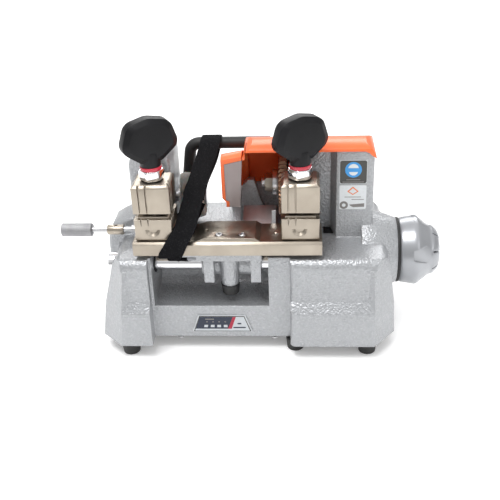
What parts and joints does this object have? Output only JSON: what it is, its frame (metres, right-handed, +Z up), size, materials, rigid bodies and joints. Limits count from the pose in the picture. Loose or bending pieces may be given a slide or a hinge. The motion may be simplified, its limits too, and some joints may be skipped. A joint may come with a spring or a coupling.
{
  "type": "key duplicating machine",
  "caption": "Bench key duplicator: cast base, sliding and tilting carriage with two wing-clamped vices, slotting cutter, tracer, guard, carry handle and battery.",
  "frame": {"origin": "centre of the overall footprint at bench level, under the rubber feet", "axes": "+X to the operator's right along the carriage shaft, +Y away from the operator, +Z up"},
  "size_m": [0.3156, 0.125, 0.2006],
  "materials": {
    "hammertone": "silver hammertone paint",
    "nickel": "satin nickel",
    "chrome": "polished chrome",
    "steel": "ground steel",
    "orange_plastic": "satin orange moulding",
    "black_plastic": "satin black moulding",
    "red_ring": "gloss",
    "black_rubber": "matt",
    "smoke": "smoked clear",
    "webbing": "woven hook and loop",
    "bristle": "nylon filament",
    "panel_print": "printed film",
    "sticker": "printed film",
    "cutter_steel": "coated tool steel",
    "grey_cap": "silver paint",
    "sheet": "grey sheet",
    "dark_sheet": "black sheet"
  },
  "bodies": {
    "base": {"base_casting": "hammertone", "bottom_cover": "dark_sheet", "cover_screws": "steel", "rubber_feet": "black_rubber", "level_panel": "panel_print", "column_stickers": "sticker", "shaft_bushes": "black_plastic", "spindle_bearings": "steel", "motor": "dark_sheet", "drive_belt": "black_rubber", "brush_belt": "black_rubber", "tracer_sleeve": "steel", "guard": "orange_plastic", "guard_window": "smoke", "guard_screws": "steel", "chip_chute": "sheet", "handle_bar": "chrome", "handle_grip": "black_rubber", "handle_nuts": "black_plastic", "transport_strap": "webbing", "socket_ring": "black_rubber", "switch_bezel": "black_plastic", "charge_socket": "black_plastic"},
    "rocker": {"carriage_shaft": "chrome", "shaft_end_cap": "chrome"},
    "carriage": {"carriage_casting": "hammertone", "carriage_bumper": "black_rubber", "carriage_plate": "nickel", "plate_screws": "steel"},
    "stop": {"stop_rod": "steel", "stop_knob": "nickel", "stop_collar": "nickel", "stop_fingers": "steel"},
    "spindle": {"cutter_spindle": "steel", "cutter": "cutter_steel", "cutter_washer": "steel", "cutter_nut": "nickel", "spindle_pulley": "steel"},
    "motor_rotor": {"motor_rotor": "steel"},
    "brush": {"brush_shaft": "steel", "brush_bristles": "bristle"},
    "tracer": {"tracer_point": "steel"},
    "tracer_adjuster": {"tracer_ring": "nickel"},
    "battery": {"battery_pack": "black_plastic"},
    "battery_cap": {"battery_cap": "grey_cap"},
    "power_switch": {"power_rocker": "black_plastic"},
    "left_vice": {"left_lower_jaw": "nickel", "left_clamp_stud": "steel"},
    "left_top_jaw": {"left_upper_jaw": "nickel", "left_clamp_washer": "black_plastic"},
    "left_clamp": {"left_clamp_nut": "chrome", "left_clamp_ring": "red_ring", "left_clamp_wing": "black_plastic"},
    "right_vice": {"right_lower_jaw": "nickel", "right_clamp_stud": "steel"},
    "right_top_jaw": {"right_upper_jaw": "nickel", "right_clamp_washer": "black_plastic"},
    "right_clamp": {"right_clamp_nut": "chrome", "right_clamp_ring": "red_ring", "right_clamp_wing": "black_plastic"}
  },
  "joints": [
    {"name": "carriage_swing", "type": "hinge", "parent": "base", "child": "rocker", "pos_m": [0, -0.0275, 0.073], "axis": [1, 0, 0], "range_deg": [-3, 8], "deforming": ["transport_strap"]},
    {"name": "carriage_slide", "type": "slide", "parent": "rocker", "child": "carriage", "axis": [1, 0, 0], "range_m": [-0.036, 0.002]},
    {"name": "stop_turn", "type": "hinge", "parent": "carriage", "child": "stop", "pos_m": [0, -0.0145, 0.0966], "axis": [1, 0, 0], "range_deg": [0, 32]},
    {"name": "spindle_spin", "type": "hinge", "parent": "base", "child": "spindle", "pos_m": [0.027, 0.0175, 0.1245], "axis": [1, 0, 0], "continuous": true},
    {"name": "motor_spin", "type": "hinge", "parent": "base", "child": "motor_rotor", "pos_m": [0, 0.034, 0.042], "axis": [1, 0, 0], "continuous": true},
    {"name": "brush_spin", "type": "hinge", "parent": "base", "child": "brush", "pos_m": [-0.05, 0.022, 0.111], "axis": [1, 0, 0], "continuous": true},
    {"name": "tracer_feed", "type": "slide", "parent": "base", "child": "tracer", "axis": [0, 1, 0], "range_m": [-0.0005, 0.0005]},
    {"name": "tracer_ring_turn", "type": "hinge", "parent": "base", "child": "tracer_adjuster", "pos_m": [-0.08785, 0.05, 0.1245], "axis": [0, 1, 0], "range_deg": [-180, 180]},
    {"name": "battery_pull", "type": "slide", "parent": "base", "child": "battery", "axis": [1, 0, 0], "range_m": [0, 0.07]},
    {"name": "battery_cap_turn", "type": "hinge", "parent": "battery", "child": "battery_cap", "pos_m": [0.14, 0.0025, 0.0675], "axis": [1, 0, 0], "range_deg": [0, 30]},
    {"name": "power_switch_tilt", "type": "hinge", "parent": "base", "child": "power_switch", "pos_m": [0, 0.0586, 0.064], "axis": [0, 0, 1], "range_deg": [-6, 6]},
    {"name": "left_vice_turn", "type": "hinge", "parent": "carriage", "child": "left_vice", "pos_m": [-0.07351, -0.0325, 0.103], "axis": [0, 0, 1], "range_deg": [-90, 180]},
    {"name": "left_jaw_lift", "type": "slide", "parent": "left_vice", "child": "left_top_jaw", "axis": [0, 0, 1], "range_m": [0, 0.0028], "stiffness_N_per_m": 100, "springref_m": 0.0195},
    {"name": "left_clamp_turn", "type": "hinge", "parent": "left_top_jaw", "child": "left_clamp", "pos_m": [-0.07351, -0.0325, 0.16], "axis": [0, 0, 1], "range_deg": [0, 540]},
    {"name": "right_vice_turn", "type": "hinge", "parent": "carriage", "child": "right_vice", "pos_m": [0.04215, -0.0325, 0.103], "axis": [0, 0, 1], "range_deg": [-90, 180]},
    {"name": "right_jaw_lift", "type": "slide", "parent": "right_vice", "child": "right_top_jaw", "axis": [0, 0, 1], "range_m": [0, 0.0028], "stiffness_N_per_m": 100, "springref_m": 0.0195},
    {"name": "right_clamp_turn", "type": "hinge", "parent": "right_top_jaw", "child": "right_clamp", "pos_m": [0.04215, -0.0325, 0.16], "axis": [0, 0, 1], "range_deg": [0, 540]}
  ],
  "couplings": [
    {"joint": "motor_spin", "follows": "spindle_spin", "ratio": 1.25},
    {"joint": "brush_spin", "follows": "spindle_spin", "ratio": 1.25},
    {"joint": "tracer_feed", "follows": "tracer_ring_turn", "m_per_rad": 0.0001},
    {"joint": "left_jaw_lift", "follows": "left_clamp_turn", "m_per_rad": 0.000238},
    {"joint": "right_jaw_lift", "follows": "right_clamp_turn", "m_per_rad": 0.000238}
  ]
}
